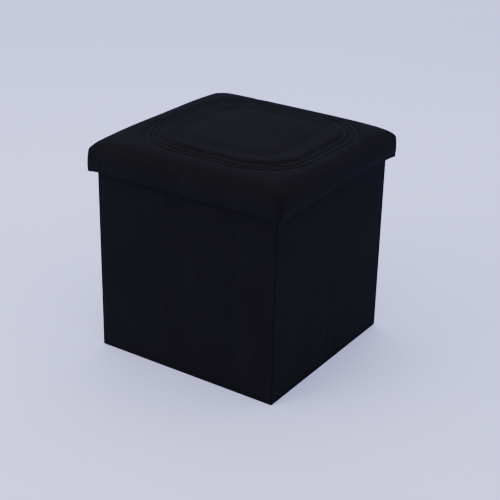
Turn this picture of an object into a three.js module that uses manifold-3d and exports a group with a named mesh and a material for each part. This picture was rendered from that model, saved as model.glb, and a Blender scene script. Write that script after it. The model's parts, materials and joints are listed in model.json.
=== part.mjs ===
// Folding storage ottoman: four padded cloth walls round a storage well, two of them split so that
// they fold inwards, a flip-up floor insert, and a padded lift-off lid.
// Millimetres, +Z up. The origin is the centre of the footprint, on the floor. The front is -Y.

import * as THREE from 'three';
import { mergeVertices } from 'three/addons/utils/BufferGeometryUtils.js';
import Module from 'manifold-3d';

const wasm = await Module();
wasm.setup();

// Driving dimensions of the body.
const BODY_HALF_X = 175.5;
const BODY_HALF_Y = 172.5;
const BODY_TOP = 346.3;
const GAP = 0.3;

// Layers of a wall, from the outside in, and of the edges that close it.
const COVER = 1.2;
const BOARD = 4.0;
const LINING = 0.8;
const BINDING = 0.9;
const SEAM_WIDTH = 2.3;
const SEAM_ROUND = 2.1;
const WALL = COVER + GAP + BOARD + GAP + LINING;
const INNER_X = BODY_HALF_X - WALL;
const INNER_Y = BODY_HALF_Y - WALL;

// The floor: a cloth under everything, then the hem that the walls stand on.
const FLOOR_CLOTH = 1.0;
const FLOOR_CLOTH_INSET = 0.5;
const HEM_BOTTOM = FLOOR_CLOTH + GAP;
const HEM_TOP = 6.4;
const HEM_DEPTH = WALL - GAP;
const WALL_BOTTOM = HEM_TOP + GAP;
const WALL_TOP = BODY_TOP - BINDING - GAP;

// The loose floor insert, hinged along the foot of the front wall.
const INSERT_HALF_X = INNER_X - 0.5;
const INSERT_FRONT = -INNER_Y + 0.5;
const INSERT_REAR = 158.0;
const INSERT_CLOTH = 0.6;
const INSERT_BOARD = 3.0;
const TAB_HALF_WIDTH = 14.0;
const TAB_THICKNESS = 1.6;
const TAB_RISE = 2.7;

// The lid. Its band hangs over the top of the walls with a running clearance all round.
const LID_HALF_X = 190.0;
const LID_HALF_Y = 187.0;
const LID_BOTTOM = 326.0;
const LID_CORNER = 12.0;
const LID_CLEARANCE = 2.6;
const LID_COVER = 1.5;
const LID_HEM_ROUND = 4.0;
const LID_EDGE_START = 358.0;
const LID_EDGE_RUN = 20.0;
const LID_EDGE_RISE = 19.0;
const LID_CROWN = 5.0;
const LID_BOARD = 6.0;
const RIM_LINING = 1.2;
const RIM = 5.0;
const RIM_BOTTOM = LID_BOTTOM + LID_COVER + GAP;
const SIDE_PAD_BOTTOM = 331.0;
const SIDE_PAD_HALF_Y = LID_HALF_Y - LID_CORNER + 1.0;
const SIDE_PAD_HALF_X = LID_HALF_X - LID_CORNER + 1.0;

// Levels and half-sizes of the lid's layers, worked out from the ones above.
const LINING_BOTTOM = BODY_TOP + GAP;
const LINING_TOP = LINING_BOTTOM + LINING;
const LID_BOARD_BOTTOM = LINING_TOP + GAP;
const LID_BOARD_TOP = LID_BOARD_BOTTOM + LID_BOARD;
const THROAT_X = BODY_HALF_X + LID_CLEARANCE;
const THROAT_Y = BODY_HALF_Y + LID_CLEARANCE;
const RIM_INNER_X = THROAT_X + RIM_LINING + GAP;
const RIM_INNER_Y = THROAT_Y + RIM_LINING + GAP;
const RIM_OUTER_X = RIM_INNER_X + RIM;
const RIM_OUTER_Y = RIM_INNER_Y + RIM;
const PAD_OUTSET = LID_COVER + GAP;

// Steps of the rounded shapes.
const CORNER_STEPS = 8;
const EDGE_STEPS = 6;
const CROWN_STEPS = 6;

const cloth = () => new THREE.MeshStandardMaterial({ color: 0x121216, roughness: 0.95, metalness: 0 });
const binding = () => new THREE.MeshStandardMaterial({ color: 0x0f0f12, roughness: 0.9, metalness: 0 });
const lining = () => new THREE.MeshStandardMaterial({ color: 0x17171b, roughness: 0.98, metalness: 0 });
const fibreboard = () => new THREE.MeshStandardMaterial({ color: 0x8a6a48, roughness: 0.85, metalness: 0 });
const foam = () => new THREE.MeshStandardMaterial({ color: 0xd9d4c4, roughness: 0.95, metalness: 0 });

const ottoman = new THREE.Group();

function add(name, geometry, material) {
  const mesh = new THREE.Mesh(geometry, material);
  mesh.name = name;
  ottoman.add(mesh);
}

// A box between two opposite corners.
function slab(low, high) {
  const size = high.map((value, axis) => value - low[axis]);
  const box = new THREE.BoxGeometry(...size);
  box.translate((low[0] + high[0]) / 2, (low[1] + high[1]) / 2, (low[2] + high[2]) / 2);
  return box;
}

// A box whose x and y spans are given as pairs in either order, as mirrored pieces have them.
function block(x, y, z) {
  const low = [Math.min(...x), Math.min(...y), Math.min(...z)];
  const high = [Math.max(...x), Math.max(...y), Math.max(...z)];
  return slab(low, high);
}

// Points round a rectangle with round corners, anticlockwise, the same number for any size.
function roundedOutline(halfX, halfY, radius) {
  const points = [];
  const corners = [[1, 1], [-1, 1], [-1, -1], [1, -1]];
  corners.forEach(([signX, signY], quarter) => {
    for (let step = 0; step <= CORNER_STEPS; step += 1) {
      const angle = (quarter + step / CORNER_STEPS) * (Math.PI / 2);
      const x = signX * (halfX - radius) + radius * Math.cos(angle);
      const y = signY * (halfY - radius) + radius * Math.sin(angle);
      points.push([x, y]);
    }
  });
  return points;
}

function extrudeOutline(points, bottom, top) {
  const shape = new THREE.Shape(points.map(([x, y]) => new THREE.Vector2(x, y)));
  const solid = new THREE.ExtrudeGeometry(shape, { depth: top - bottom, bevelEnabled: false });
  solid.translate(0, 0, bottom);
  return solid;
}

// A closed solid through a stack of rings with equal numbers of points, from the bottom one up,
// closed by a flat fan below and a fan to an apex above.
function loft(rings, apex) {
  const count = rings[0].length;
  const positions = rings.flat(2);
  const bottomCentre = rings.length * count;
  positions.push(0, 0, rings[0][0][2]);
  positions.push(0, 0, apex);
  const index = [];
  for (let point = 0; point < count; point += 1) {
    const next = (point + 1) % count;
    index.push(bottomCentre, next, point);
    for (let ring = 0; ring + 1 < rings.length; ring += 1) {
      const low = ring * count;
      const high = low + count;
      index.push(low + point, low + next, high + next);
      index.push(low + point, high + next, high + point);
    }
    const last = (rings.length - 1) * count;
    index.push(last + point, last + next, bottomCentre + 1);
  }
  const geometry = new THREE.BufferGeometry();
  geometry.setAttribute('position', new THREE.Float32BufferAttribute(positions, 3));
  geometry.setIndex(index);
  return geometry;
}

// The lid's soft outer form, moved inwards by an offset: a rounded hem, upright sides, a round
// top edge that is a quarter of an ellipse, and a crown that is a parabola along X times a parabola
// along Y. A flat bottom replaces the hem where one is given.
function cushion(offset, flatBottom) {
  const halfX = LID_HALF_X - offset;
  const halfY = LID_HALF_Y - offset;
  const corner = LID_CORNER - offset;
  const ringAt = (inset, height) => {
    const outline = roundedOutline(halfX - inset, halfY - inset, Math.max(corner - inset, 0.5));
    return outline.map(([x, y]) => [x, y, height]);
  };
  const rings = [];
  if (flatBottom === undefined) {
    rings.push(ringAt(LID_HEM_ROUND - offset, LID_BOTTOM + offset));
    rings.push(ringAt((LID_HEM_ROUND - offset) * 0.3, LID_BOTTOM + offset + 1.2));
    rings.push(ringAt(0, LID_BOTTOM + LID_HEM_ROUND));
  } else {
    rings.push(ringAt(0, flatBottom));
  }
  const run = LID_EDGE_RUN - offset;
  const rise = LID_EDGE_RISE - offset;
  for (let step = 0; step <= EDGE_STEPS; step += 1) {
    const angle = (step / EDGE_STEPS) * (Math.PI / 2);
    const inset = run * (1 - Math.cos(angle));
    rings.push(ringAt(inset, LID_EDGE_START + rise * Math.sin(angle)));
  }
  const rim = rings[rings.length - 1];
  const edge = LID_EDGE_START + rise;
  const crownAt = (x, y) => (1 - (x / (halfX - run)) ** 2) * (1 - (y / (halfY - run)) ** 2);
  for (let step = 1; step < CROWN_STEPS; step += 1) {
    const scale = 1 - step / CROWN_STEPS;
    rings.push(rim.map(([x, y]) => [x * scale, y * scale, edge + LID_CROWN * crownAt(x * scale, y * scale)]));
  }
  return loft(rings, edge + LID_CROWN);
}

function toManifold(geometry) {
  const bare = geometry.clone();
  bare.deleteAttribute('normal');
  bare.deleteAttribute('uv');
  const merged = mergeVertices(bare, 1e-4);
  const vertProperties = new Float32Array(merged.attributes.position.array);
  const triVerts = new Uint32Array(merged.index.array);
  return new wasm.Manifold(new wasm.Mesh({ numProp: 3, vertProperties, triVerts }));
}

function fromManifold(solid) {
  const mesh = solid.getMesh();
  const geometry = new THREE.BufferGeometry();
  geometry.setAttribute('position', new THREE.Float32BufferAttribute(mesh.vertProperties, 3));
  geometry.setIndex(new THREE.Uint32BufferAttribute(mesh.triVerts, 1));
  return geometry;
}

function addFloor() {
  const clothX = BODY_HALF_X - FLOOR_CLOTH_INSET;
  const clothY = BODY_HALF_Y - FLOOR_CLOTH_INSET;
  add('floor_cloth', slab([-clothX, -clothY, 0], [clothX, clothY, FLOOR_CLOTH]), binding());
  const hem = [HEM_BOTTOM, HEM_TOP];
  for (const [name, side] of [['front', -1], ['rear', 1]]) {
    const depth = [side * BODY_HALF_Y, side * (BODY_HALF_Y - HEM_DEPTH)];
    add(`bottom_hem_${name}`, block([-BODY_HALF_X, BODY_HALF_X], depth, hem), cloth());
  }
  for (const [name, side] of [['right', 1], ['left', -1]]) {
    const depth = [side * BODY_HALF_X, side * (BODY_HALF_X - HEM_DEPTH)];
    add(`bottom_hem_${name}`, block(depth, [-INNER_Y, INNER_Y], hem), cloth());
  }
}

// The strip that closes a wall's upright end, with the body's round corner on its outer side.
function cornerSeam(signX, signY) {
  const inner = BODY_HALF_X - SEAM_WIDTH;
  const points = [[inner, INNER_Y], [BODY_HALF_X, INNER_Y]];
  for (let step = 0; step <= CORNER_STEPS; step += 1) {
    const angle = (step / CORNER_STEPS) * (Math.PI / 2);
    const x = BODY_HALF_X - SEAM_ROUND + SEAM_ROUND * Math.cos(angle);
    const y = BODY_HALF_Y - SEAM_ROUND + SEAM_ROUND * Math.sin(angle);
    points.push([x, y]);
  }
  points.push([inner, BODY_HALF_Y]);
  const placed = points.map(([x, y]) => [signX * x, signY * y]);
  return extrudeOutline(placed, WALL_BOTTOM, WALL_TOP);
}

// A whole wall across the front or the rear, with a seam strip at each end.
function addWholeWall(name, side) {
  const upright = [WALL_BOTTOM, WALL_TOP];
  const halfWidth = BODY_HALF_X - SEAM_WIDTH - GAP;
  const width = [-halfWidth, halfWidth];
  const layer = (outer, thickness) => [side * outer, side * (outer - thickness)];
  const boardOuter = BODY_HALF_Y - COVER - GAP;
  const liningOuter = boardOuter - BOARD - GAP;
  add(`${name}_cover`, block(width, layer(BODY_HALF_Y, COVER), upright), cloth());
  add(`${name}_board`, block(width, layer(boardOuter, BOARD), upright), fibreboard());
  add(`${name}_lining`, block(width, layer(liningOuter, LINING), upright), lining());
  const top = [WALL_TOP + GAP, BODY_TOP];
  add(`${name}_top_binding`, block([-BODY_HALF_X, BODY_HALF_X], layer(BODY_HALF_Y, WALL), top), binding());
  add(`corner_seam_${name}_right`, cornerSeam(1, side), binding());
  add(`corner_seam_${name}_left`, cornerSeam(-1, side), binding());
}

// Half of a side wall. Its inner end meets the other half at the fold in the middle.
function addHalfWall(name, side, along) {
  const upright = [WALL_BOTTOM, WALL_TOP];
  const length = [along * GAP, along * (INNER_Y - GAP)];
  const layer = (outer, thickness) => [side * outer, side * (outer - thickness)];
  const boardOuter = BODY_HALF_X - COVER - GAP;
  const liningOuter = boardOuter - BOARD - GAP;
  add(`${name}_cover`, block(layer(BODY_HALF_X, COVER), length, upright), cloth());
  add(`${name}_board`, block(layer(boardOuter, BOARD), length, upright), fibreboard());
  add(`${name}_lining`, block(layer(liningOuter, LINING), length, upright), lining());
  const top = [WALL_TOP + GAP, BODY_TOP];
  add(`${name}_top_binding`, block(layer(BODY_HALF_X, WALL), length, top), binding());
}

function addInsert() {
  const width = [-INSERT_HALF_X, INSERT_HALF_X];
  const depth = [INSERT_FRONT, INSERT_REAR];
  const clothBottom = HEM_BOTTOM;
  const boardBottom = clothBottom + INSERT_CLOTH + GAP;
  const topCloth = boardBottom + INSERT_BOARD + GAP;
  add('insert_bottom_cloth', block(width, depth, [clothBottom, clothBottom + INSERT_CLOTH]), lining());
  add('insert_board', block(width, depth, [boardBottom, boardBottom + INSERT_BOARD]), fibreboard());
  add('insert_top_cloth', block(width, depth, [topCloth, topCloth + INSERT_CLOTH]), lining());
  const tabDepth = [INSERT_REAR + GAP, INNER_Y - 0.5];
  const tabHeight = [TAB_RISE, TAB_RISE + TAB_THICKNESS];
  add('insert_pull_tab', block([-TAB_HALF_WIDTH, TAB_HALF_WIDTH], tabDepth, tabHeight), binding());
}

function addLidFrame() {
  const boardOutline = roundedOutline(RIM_OUTER_X, RIM_OUTER_Y, LID_CORNER - (LID_HALF_X - RIM_OUTER_X));
  add('lid_board', extrudeOutline(boardOutline, LID_BOARD_BOTTOM, LID_BOARD_TOP), fibreboard());
  const rim = [RIM_BOTTOM, LINING_TOP];
  const pad = [SIDE_PAD_BOTTOM, LID_BOARD_TOP];
  for (const [name, side] of [['front', -1], ['rear', 1]]) {
    const length = [-RIM_INNER_X + GAP, RIM_INNER_X - GAP];
    const rimDepth = [side * RIM_INNER_Y, side * RIM_OUTER_Y];
    const padDepth = [side * (RIM_OUTER_Y + GAP), side * (LID_HALF_Y - PAD_OUTSET)];
    add(`lid_rim_${name}`, block(length, rimDepth, rim), fibreboard());
    add(`lid_side_pad_${name}`, block([-SIDE_PAD_HALF_X, SIDE_PAD_HALF_X], padDepth, pad), foam());
  }
  for (const [name, side] of [['right', 1], ['left', -1]]) {
    const length = [-RIM_INNER_Y + GAP, RIM_INNER_Y - GAP];
    const rimDepth = [side * RIM_INNER_X, side * RIM_OUTER_X];
    const padDepth = [side * (RIM_OUTER_X + GAP), side * (LID_HALF_X - PAD_OUTSET)];
    add(`lid_rim_${name}`, block(rimDepth, length, rim), fibreboard());
    add(`lid_side_pad_${name}`, block(padDepth, [-SIDE_PAD_HALF_Y, SIDE_PAD_HALF_Y], pad), foam());
  }
}

// The lid's lining is a shallow tray upside down: a sheet under the board and a flap inside each rim.
function addLidLining() {
  const outerX = THROAT_X + RIM_LINING;
  const outerY = THROAT_Y + RIM_LINING;
  const outside = slab([-outerX, -outerY, RIM_BOTTOM], [outerX, outerY, LINING_TOP]);
  const inside = slab([-THROAT_X, -THROAT_Y, RIM_BOTTOM - 1], [THROAT_X, THROAT_Y, LINING_BOTTOM]);
  const tray = toManifold(outside).subtract(toManifold(inside));
  add('lid_lining', fromManifold(tray), lining());
}

// The lid's fabric: the soft outer form hollowed to its own thickness, and open below inside its hem.
function addLidCover() {
  const throat = slab([-THROAT_X, -THROAT_Y, LID_BOTTOM - 1], [THROAT_X, THROAT_Y, RIM_BOTTOM + 1]);
  const outside = toManifold(cushion(0));
  const inside = toManifold(cushion(LID_COVER));
  const shell = outside.subtract(inside).subtract(toManifold(throat));
  add('lid_cover', fromManifold(shell), cloth());
}

addFloor();
addWholeWall('front', -1);
addWholeWall('rear', 1);
addHalfWall('right_front', 1, -1);
addHalfWall('right_rear', 1, 1);
addHalfWall('left_front', -1, -1);
addHalfWall('left_rear', -1, 1);
addInsert();
addLidFrame();
addLidLining();
add('lid_foam', cushion(PAD_OUTSET, LID_BOARD_TOP + GAP), foam());
addLidCover();

export default ottoman;
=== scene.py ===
"""Folding storage ottoman: the padded lid, the cloth walls with their seams and folds, the loose floor
insert, and the cloths, tapes and boards they are made of. Metres, +Z up, the front wall towards -Y."""

import json
import math

import bpy
import numpy as np
from mathutils import Matrix, Vector


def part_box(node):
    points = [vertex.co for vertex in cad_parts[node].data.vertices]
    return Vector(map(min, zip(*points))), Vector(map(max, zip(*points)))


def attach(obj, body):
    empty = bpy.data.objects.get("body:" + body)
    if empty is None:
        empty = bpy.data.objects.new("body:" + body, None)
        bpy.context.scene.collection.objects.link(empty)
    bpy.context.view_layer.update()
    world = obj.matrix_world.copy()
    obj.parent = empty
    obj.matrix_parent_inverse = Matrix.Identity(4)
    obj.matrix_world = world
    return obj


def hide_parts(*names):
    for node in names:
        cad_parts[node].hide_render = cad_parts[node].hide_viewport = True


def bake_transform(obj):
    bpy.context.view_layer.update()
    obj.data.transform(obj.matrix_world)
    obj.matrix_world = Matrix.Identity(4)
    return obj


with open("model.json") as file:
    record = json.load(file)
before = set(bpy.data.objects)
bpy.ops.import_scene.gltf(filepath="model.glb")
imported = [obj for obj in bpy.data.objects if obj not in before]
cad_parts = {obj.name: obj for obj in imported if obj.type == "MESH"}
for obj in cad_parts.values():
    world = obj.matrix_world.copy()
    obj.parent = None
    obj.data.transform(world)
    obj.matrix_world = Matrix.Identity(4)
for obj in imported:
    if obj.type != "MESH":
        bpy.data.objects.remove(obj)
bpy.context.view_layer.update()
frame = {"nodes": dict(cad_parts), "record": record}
scene = bpy.context.scene
NODES = frame["nodes"]
MM = 0.001

# ------------------------------------------------------------------ camera and studio

VIEW_AZIMUTH = 33.491
VIEW_ELEVATION = 24.622
VIEW_ROLL = 1.219
VIEW_DISTANCE = 2.0681
VIEW_AIM = Vector((0.0, 0.0, 0.185))
VIEW_SLIDE = (0.0113, -0.0194)
FOCAL_LENGTH = 86.5


def make_camera():
    """The camera looks back along its own +Z, which is given by azimuth and elevation, rolled about it."""
    azimuth = math.radians(VIEW_AZIMUTH)
    elevation = math.radians(VIEW_ELEVATION)
    roll = math.radians(VIEW_ROLL)
    level = math.cos(elevation)
    back = Vector((math.sin(azimuth) * level, -math.cos(azimuth) * level, math.sin(elevation)))
    right = (-back).cross(Vector((0, 0, 1))).normalized()
    up = right.cross(-back)
    rolled_right = right * math.cos(roll) + up * math.sin(roll)
    rolled_up = up * math.cos(roll) - right * math.sin(roll)
    place = VIEW_AIM + back * VIEW_DISTANCE + rolled_right * VIEW_SLIDE[0] + rolled_up * VIEW_SLIDE[1]
    camera = bpy.data.objects.new("camera", bpy.data.cameras.new("camera"))
    camera.data.lens = FOCAL_LENGTH
    camera.data.sensor_width = 36.0
    scene.collection.objects.link(camera)
    turn = Matrix((rolled_right, rolled_up, back)).transposed()
    camera.matrix_world = Matrix.Translation(place) @ turn.to_4x4()
    scene.camera = camera


def area_light(name, place, aim, size, power, colour):
    """A square soft box at a place, turned towards a point."""
    data = bpy.data.lights.new(name, "AREA")
    data.shape = "SQUARE"
    data.size = size
    data.energy = power
    data.color = colour
    lamp = bpy.data.objects.new(name, data)
    direction = Vector(aim) - Vector(place)
    lamp.matrix_world = Matrix.Translation(place) @ direction.to_track_quat("-Z", "Y").to_matrix().to_4x4()
    scene.collection.objects.link(lamp)


def make_studio():
    """Two soft boxes and an even, pale world."""
    world = bpy.data.worlds.new("studio")
    world.use_nodes = True
    background = world.node_tree.nodes["Background"]
    background.inputs["Color"].default_value = (0.88, 0.885, 1.0, 1.0)
    background.inputs["Strength"].default_value = 1.88
    scene.world = world
    area_light("overhead", (-0.5, 0.9, 2.3), (0, 0, 0.3), 1.6, 24.0, (0.96, 0.96, 1.0))
    area_light("front_left", (-1.2, -2.2, 1.4), (0, 0, 0.2), 1.4, 33.0, (0.97, 0.97, 1.0))


# ------------------------------------------------------------------ shader words


class Wire:
    """A node's output that does arithmetic: each operator or method adds one Math node."""

    def __init__(self, finish, socket):
        self.finish = finish
        self.socket = socket

    def _maths(self, operation, *values):
        return self.finish.add("ShaderNodeMath", {"operation": operation}, dict(enumerate(values)))

    def __add__(self, other):
        return self._maths("ADD", self, other)

    def __sub__(self, other):
        return self._maths("SUBTRACT", self, other)

    def __rsub__(self, other):
        return self._maths("SUBTRACT", other, self)

    def __mul__(self, other):
        return self._maths("MULTIPLY", self, other)

    def __truediv__(self, other):
        return self._maths("DIVIDE", self, other)

    __radd__ = __add__
    __rmul__ = __mul__

    def floor(self):
        return self._maths("FLOOR", self)

    def fraction(self):
        return self._maths("FRACT", self)

    def wrapped(self, length):
        return self._maths("FLOORED_MODULO", self, length)

    def below(self, limit):
        return self._maths("LESS_THAN", self, limit)

    def power(self, exponent):
        return self._maths("POWER", self, exponent)

    def least(self, other):
        return self._maths("MINIMUM", self, other)

    def ridge(self):
        """A round ridge over each whole step: 1 - (2 (f - 1/2))^2, where f is the fraction."""
        return 1.0 - ((self.fraction() - 0.5) * 2.0).power(2.0)

    def toward(self, other, share):
        """This value at share 0, the other at share 1."""
        return self + (other - self) * share


class Finish:
    """A material in the making. add() puts in any node and gives back its first output as a Wire."""

    def __init__(self, name, **shader_values):
        self.material = bpy.data.materials.new(name)
        self.material.use_nodes = True
        self.tree = self.material.node_tree
        self.shader = self.tree.nodes["Principled BSDF"]
        for socket, value in shader_values.items():
            self.shader.inputs[socket.replace("_", " ").title().replace("Ior", "IOR")].default_value = value

    def add(self, kind, settings=None, inputs=None, output=0):
        """Puts in a node: its settings first, then its sockets' values or links."""
        node = self.tree.nodes.new(kind)
        for name, value in (settings or {}).items():
            setattr(node, name, value)
        for name, value in (inputs or {}).items():
            self._set_input(node.inputs[name], value)
        return Wire(self, node.outputs[output])

    def _set_input(self, socket, value):
        if isinstance(value, Wire):
            self.tree.links.new(value.socket, socket)
        else:
            socket.default_value = value

    def feed(self, socket, value):
        self._set_input(self.shader.inputs[socket], value)

    def split(self, vector):
        """The three numbers of a vector."""
        first = self.add("ShaderNodeSeparateXYZ", None, {0: vector})
        return [Wire(self, socket) for socket in first.socket.node.outputs]

    def cloth_place(self):
        """The piece's own cloth coordinates, in metres along the two ways of the weave."""
        return self.split(self.add("ShaderNodeUVMap", {"uv_map": "Cloth"}))[:2]

    def object_place(self):
        """Object coordinates, in metres."""
        return self.add("ShaderNodeTexCoord", None, None, 3)

    def vector(self, x, y):
        return self.add("ShaderNodeCombineXYZ", None, {0: x, 1: y})

    def noise(self, vector, scale, detail=2.0, roughness=0.5):
        sockets = {"Vector": vector, "Scale": scale, "Detail": detail, "Roughness": roughness}
        return self.add("ShaderNodeTexNoise", None, sockets)

    def random(self, value):
        return self.add("ShaderNodeTexWhiteNoise", {"noise_dimensions": "1D"}, {"W": value})

    def blend_colours(self, share, first, second):
        """The first colour at share 0, the second at share 1. A colour is its red, green and blue."""
        sockets = {0: share, 6: (*first, 1.0), 7: (*second, 1.0)}
        return self.add("ShaderNodeMix", {"data_type": "RGBA"}, sockets, 2)

    def bump(self, height, distance, strength):
        sockets = {"Height": height, "Distance": distance, "Strength": strength}
        return self.add("ShaderNodeBump", None, sockets)


# ------------------------------------------------------------------ finishes

YARN = 1.45 * MM


def cover_cloth():
    """Twill woven from thick and thin yarns: two over, two under, stepping one yarn each row, so that
    slanting ridges form. A yarn is round across its width, and has its own tone and its own slow thick
    and thin stretches. The colour is darker in the troughs between yarns and between the slanting ridges:
    painted shade of the weave's relief."""
    finish = Finish("cover_cloth", sheen_weight=0.011, sheen_roughness=0.5, specular_ior_level=0.011)
    finish.feed("Sheen Tint", (0.62, 0.66, 0.85, 1.0))
    across, along = finish.cloth_place()
    warp = across / YARN
    weft = along / YARN
    warp_number = warp.floor()
    weft_number = weft.floor()
    over = (warp_number - weft_number).wrapped(4.0).below(2.0)
    warp_slub = finish.noise(finish.vector(warp_number * 3.71, along * 70.0), 1.0)
    weft_slub = finish.noise(finish.vector(across * 70.0, weft_number * 5.37), 1.0)
    warp_tone = finish.random(warp_number) * 0.5 + warp_slub * 0.5
    weft_tone = finish.random(weft_number + 0.37) * 0.5 + weft_slub * 0.5
    tone = weft_tone.toward(warp_tone, over)
    relief = weft.ridge().toward(warp.ridge(), over)
    cloudy = finish.noise(finish.vector(across, along), 9.0, 3.0)
    wale = ((warp - weft) / 4.0 + 0.375).ridge().power(2.0)
    # Painted shade: the yarns' roundness (relief) and the slanting ridges (wale) darken the colour in the
    # troughs between them, on top of the yarns' own tone and slubs.
    shade = (relief * 0.3 + wale * 0.8) * (0.55 + tone * 0.5) + (cloudy - 0.5) * 0.26
    finish.feed("Base Color", finish.blend_colours(shade, (0.0004, 0.0004, 0.0005), (0.0101, 0.0099, 0.0112)))
    finish.feed("Roughness", 0.98 - tone * 0.14)
    height = relief * (0.5 + tone * 0.4) + wale * 0.4
    finish.feed("Normal", finish.bump(height, 0.45 * MM, 0.9))
    return finish.material


def binding_cloth():
    """Ribbed tape: fine cords across its width, round on top, with a flat tone per cord."""
    finish = Finish("binding_cloth", sheen_weight=0.012, sheen_roughness=0.4, specular_ior_level=0.03)
    across, along = finish.cloth_place()
    cord = across / (0.85 * MM)
    pick = along / (0.45 * MM)
    tone = finish.random(cord.floor()) * 0.6 + finish.noise(finish.vector(across, along), 35.0) * 0.5
    finish.feed("Base Color", finish.blend_colours(tone, (0.0008, 0.0008, 0.0010), (0.0085, 0.0085, 0.0105)))
    finish.feed("Roughness", 0.9 - tone * 0.2)
    finish.feed("Normal", finish.bump(cord.ridge() + pick.ridge() * 0.3, 0.22 * MM, 0.8))
    return finish.material


def lining_cloth():
    """Bonded fibre lining: a felt of fine fibres pressed with a grid of small oval dimples."""
    finish = Finish("lining_cloth", sheen_weight=0.02, sheen_roughness=0.6, specular_ior_level=0.04)
    place = finish.object_place()
    x, y, z = finish.split(place)
    pitch = 2.4 * MM
    row = (z + y * 0.37 + x * 0.21) / pitch
    column = (x + y) / pitch + row.floor() * 0.5
    dimple_x = ((column.fraction() - 0.5) * 2.0).power(2.0)
    dimple_z = ((row.fraction() - 0.5) * 2.0).power(2.0)
    dimple = 1.0 - (dimple_x * 2.2 + dimple_z * 3.4).least(1.0)
    fibres = finish.noise(place, 1400.0, 3.0, 0.7)
    cloudy = finish.noise(place, 14.0, 3.0)
    shade = fibres * 0.6 + cloudy * 0.5 - dimple * 0.35
    finish.feed("Base Color", finish.blend_colours(shade, (0.0030, 0.0030, 0.0034), (0.0140, 0.0140, 0.0155)))
    finish.feed("Roughness", 0.95 - dimple * 0.25)
    finish.feed("Normal", finish.bump(fibres * 0.25 - dimple * 0.8, 0.18 * MM, 0.7))
    return finish.material


def fibreboard():
    """Pressed wood fibre, dyed dark: brown-black, with short pale and dark fibres and a faint glaze."""
    finish = Finish("fibreboard")
    place = finish.object_place()
    fibres = finish.noise(place, 900.0, 4.0, 0.65)
    flecks = finish.noise(place, 260.0)
    clouds = finish.noise(place, 20.0)
    shade = fibres * 0.5 + flecks * 0.3 + clouds * 0.25
    finish.feed("Base Color", finish.blend_colours(shade, (0.018, 0.014, 0.010), (0.075, 0.058, 0.042)))
    finish.feed("Roughness", 0.85 - fibres * 0.25)
    finish.feed("Normal", finish.bump(fibres, 0.10 * MM, 0.5))
    return finish.material


def black_thread():
    """Three-ply sewing thread: a slanting twist along each stitch and a soft shine. The colour is darker in
    the grooves between the plies: painted shade of the twist.
    """
    finish = Finish("black_thread", sheen_weight=0.02, specular_ior_level=0.08)
    across, along = finish.cloth_place()
    strand = ((across + along * 1.4) / (0.5 * MM)).ridge()
    # Painted shade: the twist's round plies lighten the colour on their crests and darken it in the grooves
    # between them.
    finish.feed("Base Color", finish.blend_colours(strand, (0.002, 0.002, 0.0026), (0.011, 0.011, 0.014)))
    finish.feed("Roughness", 0.62 - strand * 0.2)
    finish.feed("Normal", finish.bump(strand, 0.12 * MM, 0.8))
    return finish.material


def studio_floor():
    """Pale matt paper with the least unevenness of tone."""
    finish = Finish("studio_floor", roughness=0.9)
    clouds = finish.noise(finish.object_place(), 1.2)
    finish.feed("Base Color", finish.blend_colours(clouds, (0.60, 0.61, 0.97), (0.645, 0.655, 1.0)))
    return finish.material


# ------------------------------------------------------------------ meshes from arrays


def signed_volume(points, faces):
    """The volume inside a closed mesh of quads or triangles: each face's fan against the origin, summed."""
    first = points[faces[:, 0]]
    total = 0.0
    for corner in range(1, faces.shape[1] - 1):
        slant = np.cross(points[faces[:, corner]], points[faces[:, corner + 1]])
        total += np.einsum("ij,ij->i", first, slant).sum()
    return total / 6.0


def make_piece(name, points, faces, cloth, material):
    """A mesh object from points, faces of one corner count (a quad that ends on its first corner is a
    triangle), and each point's or each face corner's place on the cloth. Faces are turned outwards if the
    volume comes out negative."""
    points = np.asarray(points, float)
    faces = np.asarray(faces, int)
    corner_cloth = cloth if len(cloth) == faces.size else cloth[faces.ravel()]
    corner_cloth = np.asarray(corner_cloth, float).reshape(len(faces), faces.shape[1], 2)
    if signed_volume(points, faces) < 0:
        faces = faces[:, ::-1]
        corner_cloth = corner_cloth[:, ::-1]
    triangle = faces[:, 0] == faces[:, -1] if faces.shape[1] == 4 else np.zeros(len(faces), bool)
    lists = [f[1:] if short else f for f, short in zip(faces.tolist(), triangle.tolist())]
    mesh = bpy.data.meshes.new(name)
    mesh.from_pydata(points.tolist(), [], lists)
    keep = np.ones(faces.shape, bool)
    keep[triangle, 0] = False
    layer = mesh.uv_layers.new(name="Cloth")
    layer.data.foreach_set("uv", corner_cloth[keep].astype(np.float32).ravel())
    mesh.polygons.foreach_set("use_smooth", np.ones(len(mesh.polygons), bool))
    mesh.set_sharp_from_angle(angle=math.radians(50))
    mesh.materials.append(material)
    piece = bpy.data.objects.new(name, mesh)
    scene.collection.objects.link(piece)
    return piece


def grid_quads(rows, columns, start=0, wrap_rows=False, wrap_columns=False):
    """The quads of a grid of points numbered row by row, closed round either way if asked."""
    number = start + np.arange(rows * columns).reshape(rows, columns)
    if wrap_rows:
        number = np.vstack([number, number[:1]])
    if wrap_columns:
        number = np.hstack([number, number[:, :1]])
    quads = np.stack([number[:-1, :-1], number[:-1, 1:], number[1:, 1:], number[1:, :-1]], axis=-1)
    return quads.reshape(-1, 4)


def border_loop(rows, columns):
    """The grid's border points in order round it."""
    number = np.arange(rows * columns).reshape(rows, columns)
    return np.concatenate([number[0, :-1], number[:-1, -1], number[-1, :0:-1], number[:0:-1, 0]])


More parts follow.
